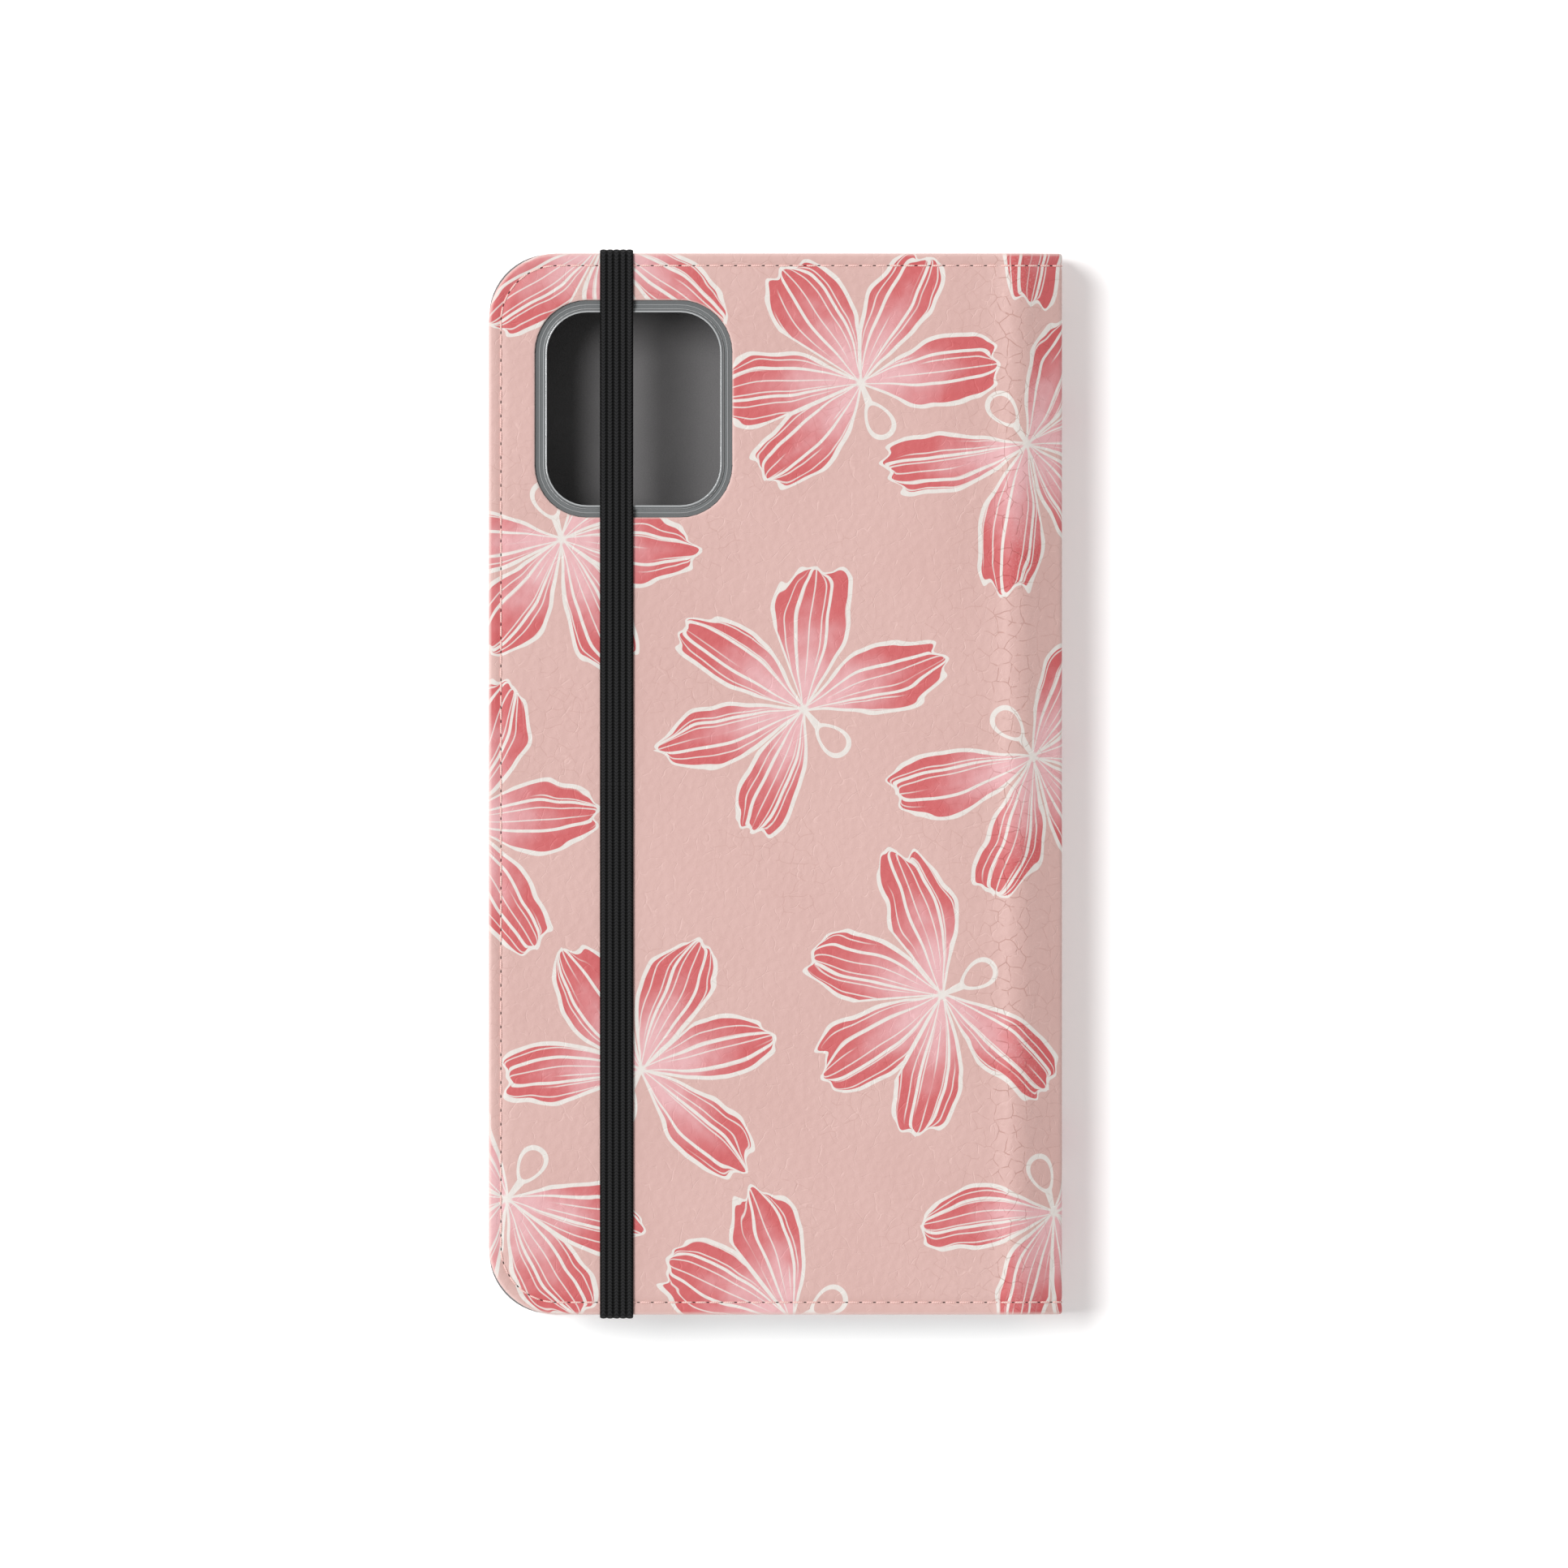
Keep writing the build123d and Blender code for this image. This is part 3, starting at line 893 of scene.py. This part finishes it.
def add_print(piece, flat_x, flat_y):
    """UV maps of the print: place on the wrap, and place in the nearest flower of each layer."""
    layers = [[] for _ in LAYERS]
    for number, (fx, fy, gap) in enumerate(FLOWERS):
        room = [min((math.hypot(fx - g[0], fy - g[1]) for g in layer), default=1e3) for layer in layers]
        layers[room.index(max(room))].append((fx, fy, math.radians(gap), number))
    mesh = piece.data
    corners = corners_of(piece)
    x = flat_x[corners]
    y = flat_y[corners]
    corner_map(piece, "surface", np.column_stack([x, y]))
    starts = np.zeros(len(mesh.polygons), np.int32)
    totals = np.zeros(len(mesh.polygons), np.int32)
    mesh.polygons.foreach_get("loop_start", starts)
    mesh.polygons.foreach_get("loop_total", totals)
    centre_x = np.add.reduceat(x, starts) / totals
    centre_y = np.add.reduceat(y, starts) / totals
    for name, layer in zip(LAYERS, layers):
        flowers = np.array(layer)
        apart = np.hypot(centre_x[:, None] - flowers[:, 0], centre_y[:, None] - flowers[:, 1])
        nearest = flowers[apart.argmin(axis=1)]
        chosen = np.repeat(nearest, totals, axis=0)
        turn = chosen[:, 2] + math.pi
        dx = x - chosen[:, 0]
        dy = y - chosen[:, 1]
        cos, sin = np.cos(turn), np.sin(turn)
        corner_map(piece, name, np.column_stack([dx * cos + dy * sin, dy * cos - dx * sin]))
        seeds = mesh.attributes.new(f"{name}_seed", "FLOAT", "FACE")
        seeds.data.foreach_set("value", (nearest[:, 3] * 1.7 + 0.5).astype(np.float32))


def add_edge(piece, distance):
    """Distance of each point from the nearest edge, where the leather is lightened by wear and a painted
    highlight.
    """
    layer = piece.data.attributes.new("edge", "FLOAT", "POINT")
    layer.data.foreach_set("value", np.clip(distance, 0, 9).astype(np.float32))


def edge_relief(distance):
    """How far the leather sinks at its rounded edge and at the pulled-in seam."""
    return round_over(distance, EDGE_ROUND) + valley(distance - SEAM_INSET, SEAM_DEPTH, SEAM_WIDTH)


def wrap_relief(s, y, radius, hole):
    """How far the leather of a cover sinks: edges, seam, shallow crease and camera cut-out."""
    start, bottom, end = CREASE
    crease = CREASE_DEPTH * (smooth_step(s, start, bottom) - smooth_step(s, bottom, end))
    sink = edge_relief(edge_distance(s, y, radius)) + crease
    if hole:
        sink = sink + round_over(hole_distance(s, y), HOLE_ROUND)
    return sink


def cover_pieces(name, side, radius, hole):
    """The printed wrap and the lining of one cover, each running through the fold to the spine."""
    flip = side < 0
    flat = sheet_flat(columns, rows, radius, WRAP_LINES, spine_s, hole=hole)
    wrap, points = sheet_piece(
        f"wrap_{name}", flat,
        lambda s, y: on_wrap(s, y, wrap_relief(s, y, radius, hole), side),
        lambda s, y: on_wrap(s, y, np.full(len(s), skin), side),
        (leather, cut_edge), flip,
    )
    s, y = points.T
    distance = edge_distance(s, y, radius)
    if hole:
        distance = np.minimum(distance, hole_distance(s, y) * HOLE_WEAR_AND_HIGHLIGHT)
    add_edge(wrap, distance)
    add_print(wrap, print_x(s, side), y)

    flat = sheet_flat(columns, rows, radius, LINING_LINES, spine_s, hole=hole)

    def outside(s, y):
        raised = (edge_distance(s, y, radius) < rim + 0.01) | (s > fold_x - rim + 0.01)
        return on_wrap(s, y, np.where(raised, skin, board_drop), side)

    def inner_face(s, y):
        lift = round_over(edge_distance(s, y, radius), LINING_ROUND)
        return in_lining(s, y, lift, side)

    lining, _ = sheet_piece(f"lining_{name}", flat, outside, inner_face, (suede,), flip)
    for piece, (kind, layer) in zip((wrap, lining), SHEETS):
        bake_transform(piece)
        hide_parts(f"{name}_{kind}", f"{name}_fold_{kind}")


# ---------------- spine
def spine_pieces():
    """The printed wrap and the lining over the spine."""
    insets = np.array(WRAP_LINES)
    across = np.linspace(-half_spine, half_spine, 13)
    along = np.concatenate([insets - half_height, rows, (half_height - insets)[::-1]])
    u, y = (a.ravel() for a in np.meshgrid(across, along))
    quads = grid_quads(len(across), len(along))
    triangles = [half for a, b, c, d in quads for half in ((a, b, c), (a, c, d))]
    flat = (np.column_stack([u, y]), np.array(triangles))

    def flat_face(x):
        return lambda u, y: (np.full(len(u), x), y, middle_z - u)

    def outer_face(u, y):
        return spine_x - edge_relief(half_height - np.abs(y)), y, middle_z - u

    under_skin = flat_face(spine_x - skin)
    wrap, points = sheet_piece("wrap_spine", flat, outer_face, under_skin, (leather, cut_edge))
    add_edge(wrap, half_height - np.abs(points[:, 1]))
    add_print(wrap, points[:, 0], points[:, 1])
    inner_face = flat_face(spine_lining_low.x)
    lining, _ = sheet_piece("lining_spine", flat, under_skin, inner_face, (suede,))
    for piece, (kind, layer) in zip((wrap, lining), SHEETS):
        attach(piece, "spine")
        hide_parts(f"spine_{kind}")


# ---------------- stitches
def tube_faces(rings, around, base=0, closed=False):
    """Quads between rings of points that follow each other; closed joins the last ring to the first."""
    faces = []
    for j in range(rings if closed else rings - 1):
        step = around if j + 1 < rings else -j * around
        for k in range(around):
            a = base + j * around + k
            b = base + j * around + (k + 1) % around
            faces.append((a, b, b + step, a + step))
    return faces


def stitch_mesh(lines, pitch, gap, radius, hole_size):
    """Stitches and needle holes along (points, normals): points, faces, kinds and a surface map."""
    verts, faces, kinds, maps = [], [], [], []
    ring = np.linspace(0, math.tau, 9)[:-1]
    around = len(ring)
    stations = np.array([0, 0.06, 0.2, 0.5, 0.8, 0.94, 1.0])
    for points, normals in lines:
        length = np.concatenate([[0], np.cumsum(np.linalg.norm(np.diff(points, axis=0), axis=1))])
        count = max(1, round(length[-1] / pitch))
        step = length[-1] / count

        def at(distance, values=points):
            return np.column_stack([np.interp(distance, length, values[:, k]) for k in range(3)])

        def frames(distance):
            """Points on the line, with the directions up, ahead and sideways."""
            ahead = at(distance + 0.05) - at(distance - 0.05)
            ahead /= np.linalg.norm(ahead, axis=1)[:, None]
            up = at(distance, normals)
            return at(distance), up, ahead, np.cross(up, ahead)

        for i in range(count):
            reach = i * step + gap / 2 + stations * (step - gap)
            centre, up, _, sideways = frames(reach)
            thick = radius * np.sqrt(np.clip(1 - (2 * stations - 1) ** 6, 0.06, 1))
            lift = radius * (np.sin(math.pi * stations) - 0.25)
            base = len(verts)
            for j in range(len(stations)):
                for angle in ring:
                    offset = sideways[j] * math.cos(angle) * 1.15 + up[j] * math.sin(angle)
                    verts.append(centre[j] + up[j] * lift[j] + offset * thick[j])
                    maps.append((reach[j], angle / math.tau))
            faces += tube_faces(len(stations), around, base)
            last = base + (len(stations) - 1) * around
            faces.append(tuple(range(base + around - 1, base - 1, -1)))
            faces.append(tuple(range(last, last + around)))
            kinds += [0] * ((len(stations) - 1) * around + 2)

        # Needle holes: small dark lenses on the surface, coloured with painted shade.
        for i in range(count + 1):
            place = np.array([min(max(i * step, 0.01), length[-1] - 0.01)])
            centre, up, ahead, sideways = (values[0] for values in frames(place))
            base = len(verts)
            for angle in ring:
                offset = ahead * math.cos(angle) * hole_size[0] / 2
                offset += sideways * math.sin(angle) * hole_size[1] / 2
                verts.append(centre + offset + up * PIT_RIM)
                maps.append((0, 0))
            verts += [centre + up * PIT_CROWN, centre - up * PIT_DEPTH]
            maps += [(0, 0), (0, 0)]
            for k in range(around):
                a, b = base + k, base + (k + 1) % around
                faces.append((a, b, base + around))
                faces.append((b, a, base + around + 1))
            kinds += [1] * (2 * around)
    return verts, faces, kinds, np.array(maps)


def stitch_piece(name, lines, thread, stitch=WRAP_STITCH):
    """A row of separate stitches with its needle holes."""
    verts, faces, kinds, maps = stitch_mesh(lines, *stitch)
    piece = make_piece(name, verts, faces, (thread, pit), kinds, smooth_angle=60)
    corner_map(piece, "surface", maps[corners_of(piece)])
    return piece


def wrap_seam(side, radius, hole):
    """The seam of one cover, from the spine round the fore-edge and back."""
    fine_columns = np.linspace(fore_x + radius + 0.3, spine_s, 160)
    fine_rows = np.linspace(-half_height, half_height, 300)
    s, y = sheet_line(fine_columns, fine_rows, radius, SEAM_INSET).T
    sink = wrap_relief(s, y, radius, hole)
    points = np.column_stack(on_wrap(s, y, sink, side))
    normals = points - np.column_stack(on_wrap(s, y, sink + 1.0, side))
    return points, normals


def wrap_stitches():
    for name, side, radius, hole in COVERS:
        piece = stitch_piece(f"stitches_{name}", [wrap_seam(side, radius, hole)], pink_thread)
        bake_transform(piece)
        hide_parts(f"{name}_stitching")
    lines = []
    z = np.linspace(spine_low.z, spine_high.z, 20)
    for y in (half_height - SEAM_INSET, SEAM_INSET - half_height):
        points = np.column_stack([np.full(20, spine_x - SEAM_DEPTH), np.full(20, y), z])
        lines.append((points, np.tile([1.0, 0, 0], (20, 1))))
    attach(stitch_piece("stitches_spine", lines, pink_thread), "spine")


# ---------------- collar round the cameras
COLLAR_GAP = 0.3
LIP_PLACE = 0.36
# Outline of the trim across the collar: distance in from the collar's edge, and drop below the cover.
COLLAR_OUTLINE = (
    (-0.27, 1.4), (-0.27, 0.46), (0.28, 0.47), (0.31, 0.4), (0.36, 0.37), (0.42, 0.4), (0.48, 0.47),
    (0.86, 0.475), (0.9, 0.27), (0.94, 0.21), (1.0, 0.185), (1.3, 0.088), (1.36, 0.075), (1.42, 0.09),
    (1.46, 0.14), (1.475, 0.26), (1.475, 1.4),
)


def camera_collar():
    """Trim over the shell's collar, with a flange, a lip, a band and a bead."""
    verts, maps = [], []
    for inward, drop in COLLAR_OUTLINE:
        line = hole_line(-COLLAR_GAP - inward)
        around = len(line)
        verts += [(x, y, case_depth - drop) for x, y in line]
        maps += [(inward, GRID * step) for step in range(around)]
    faces = tube_faces(len(COLLAR_OUTLINE), around, closed=True)
    piece = make_piece("camera_collar", verts, faces, (collar_trim(),), smooth_angle=40)
    corner_map(piece, "surface", np.array(maps)[corners_of(piece)])
    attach(piece, "back_cover")


# ---------------- elastic
ELASTIC_GAP = 0.03


def elastic_section(width, thickness):
    """Outline of the ribbed elastic seen from its end, with the distance across it."""
    across = np.linspace(-width / 2, width / 2, 61)
    rib = np.abs(np.cos(math.pi * (across / RIB_PITCH)))
    edge = np.clip((width / 2 - np.abs(across)) / 0.18, 0, 1)
    height = thickness / 2 * (0.55 + 0.45 * rib**0.6) * np.sqrt(1 - (1 - edge) ** 2 * 0.8)
    return np.concatenate([across, across[::-1]]), np.concatenate([height, -height[::-1]])


def elastic_half(half, end):
    """Half of the elastic: tucked under the cover's edge, round it, and on to the cover's middle."""
    thickness = band_high.z - band_low.z
    centre_x = (band_low.x + band_high.x) / 2
    tuck_z = end_low.z + thickness / 2
    run_z = case_depth + thickness / 2 + ELASTIC_GAP
    bow = (run_z - tuck_z) / 2
    turn_y = end_high.y - thickness / 2 - bow
    turn = np.linspace(-math.pi / 2, math.pi / 2, 21)
    tuck_y = np.linspace(end_low.y, turn_y, 6)[:-1]
    run_y = np.linspace(turn_y, 0, 110)[1:]
    y = np.concatenate([tuck_y, turn_y + bow * np.cos(turn), run_y])
    tuck, run = np.ones(len(tuck_y)), np.ones(len(run_y))
    z = np.concatenate([tuck * tuck_z, (run_z + tuck_z) / 2 + bow * np.sin(turn), run * run_z])
    facing = np.concatenate([tuck * -math.pi / 2, turn, run * math.pi / 2])
    length = np.concatenate([[0], np.cumsum(np.hypot(np.diff(y), np.diff(z)))])
    across, height = elastic_section(band_high.x - band_low.x, thickness)
    around = len(across)
    verts = []
    for py, pz, angle in zip(y, z, facing):
        ny, nz = math.cos(angle), math.sin(angle)
        verts += [(centre_x + a, end * (py + h * ny), pz + h * nz) for a, h in zip(across, height)]
    faces = [(a, d, c, b) for a, b, c, d in tube_faces(len(y), around)]
    last = (len(y) - 1) * around
    faces.append(tuple(range(around)))
    faces.append(tuple(range(last + around - 1, last - 1, -1)))
    if end < 0:
        faces = [f[::-1] for f in faces]
    piece = make_piece(f"elastic_{half}_half", verts, faces, (black_elastic,), smooth_angle=70)
    flat = np.column_stack([np.tile(across + RIB_PITCH / 2, len(y)), np.repeat(length, around)])
    corner_map(piece, "surface", flat[corners_of(piece)])
    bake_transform(piece)
    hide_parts(f"elastic_end_{half}", "elastic_band")


# ---------------- pockets inside the front cover
def pocket_piece(node, radius):
    """One pocket sheet with a hem pressed along its mouth: returns its hem line and its seam line."""
    low, high = box_mm(node)
    centre_y = (low.y + high.y) / 2
    half = (high.y - low.y) / 2
    wide = np.arange(low.x + POCKET_MARGIN, high.x - MOUTH_LINES[0] - SPARE, POCKET_GRID)
    across = np.concatenate([wide, high.x - np.array(MOUTH_LINES)])
    down = centre_y + np.linspace(POCKET_MARGIN - half, half - POCKET_MARGIN, round(half))
    place = (low.x, half, centre_y)

    def top(x, y):
        distance = edge_distance(x, y, radius, place)
        sink = round_over(np.minimum(distance, high.x - x), POCKET_ROUND)
        sink = sink + valley(distance - POCKET_SEAM, POCKET_PRESS, 0.4)
        return x, y, high.z - sink - valley(high.x - x - POCKET_HEM, POCKET_PRESS, 0.35)

    def bottom(x, y):
        return x, y, np.full(len(x), low.z)

    flat = sheet_flat(across, down, radius, POCKET_LINES, high.x, place)
    piece, _ = sheet_piece(f"{node}_sheet", flat, top, bottom, (suede,))
    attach(piece, "front_cover")
    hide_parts(node)
    z = high.z - POCKET_PRESS
    mouth = np.linspace(3.0 - half, half - 3.0, 60) + centre_y
    hem_line = np.column_stack([np.full(60, high.x - POCKET_HEM), mouth, np.full(60, z)])
    border = sheet_line(across[across < high.x - POCKET_HEM - 1], down, radius, POCKET_SEAM, place)
    border_line = np.column_stack([border, np.full(len(border), z)])
    return [(line, np.tile([0, 0, 1.0], (len(line), 1))) for line in (hem_line, border_line)]


def pockets():
    lines = pocket_piece("slip_pocket", SLIP_RADIUS)
    for node in ("card_pocket_inner", "card_pocket_middle", "card_pocket_outer"):
        seams = pocket_piece(node, CARD_RADIUS)
        lines += seams[:1] if node != "card_pocket_outer" else seams
    piece = stitch_piece("pocket_stitches", lines, dark_thread, POCKET_STITCH)
    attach(piece, "front_cover")
    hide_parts("pocket_stitching")


# ---------------- floor
def make_floor():
    steps = np.linspace(-FLOOR_REACH, FLOOR_REACH, 9)
    verts = [(x, y, -FLOOR_DROP) for y in steps for x in steps]
    faces = grid_quads(len(steps), len(steps))
    make_piece("studio_floor", verts, faces, (floor_material(),))


# ---------------- build
bpy.context.scene.view_settings.view_transform = "Standard"
make_camera()
make_light()
make_world()
make_floor()

leather = printed_leather()
cut_edge = leather_edge()
suede = suede_lining()
pink_thread = twisted_thread("thread", linear(216, 172, 165), linear(241, 204, 197))
dark_thread = twisted_thread("grey_thread", linear(66, 64, 65), linear(118, 116, 117))
pit = needle_hole_shade()
black_elastic = elastic()

for cover in COVERS:
    cover_pieces(*cover)
spine_pieces()
wrap_stitches()
camera_collar()
elastic_half("top", 1)
elastic_half("bottom", -1)
pockets()

# The CAD nodes that are shown in their CAD shape.
for finish, *names in (
    (board(), "back_board", "front_board", "spine_board"),
    (adhesive(), "shell_adhesive"),
    (shell_plastic(), "phone_shell"),
):
    for name in names:
        nodes[name].data.materials.clear()
        nodes[name].data.materials.append(finish)
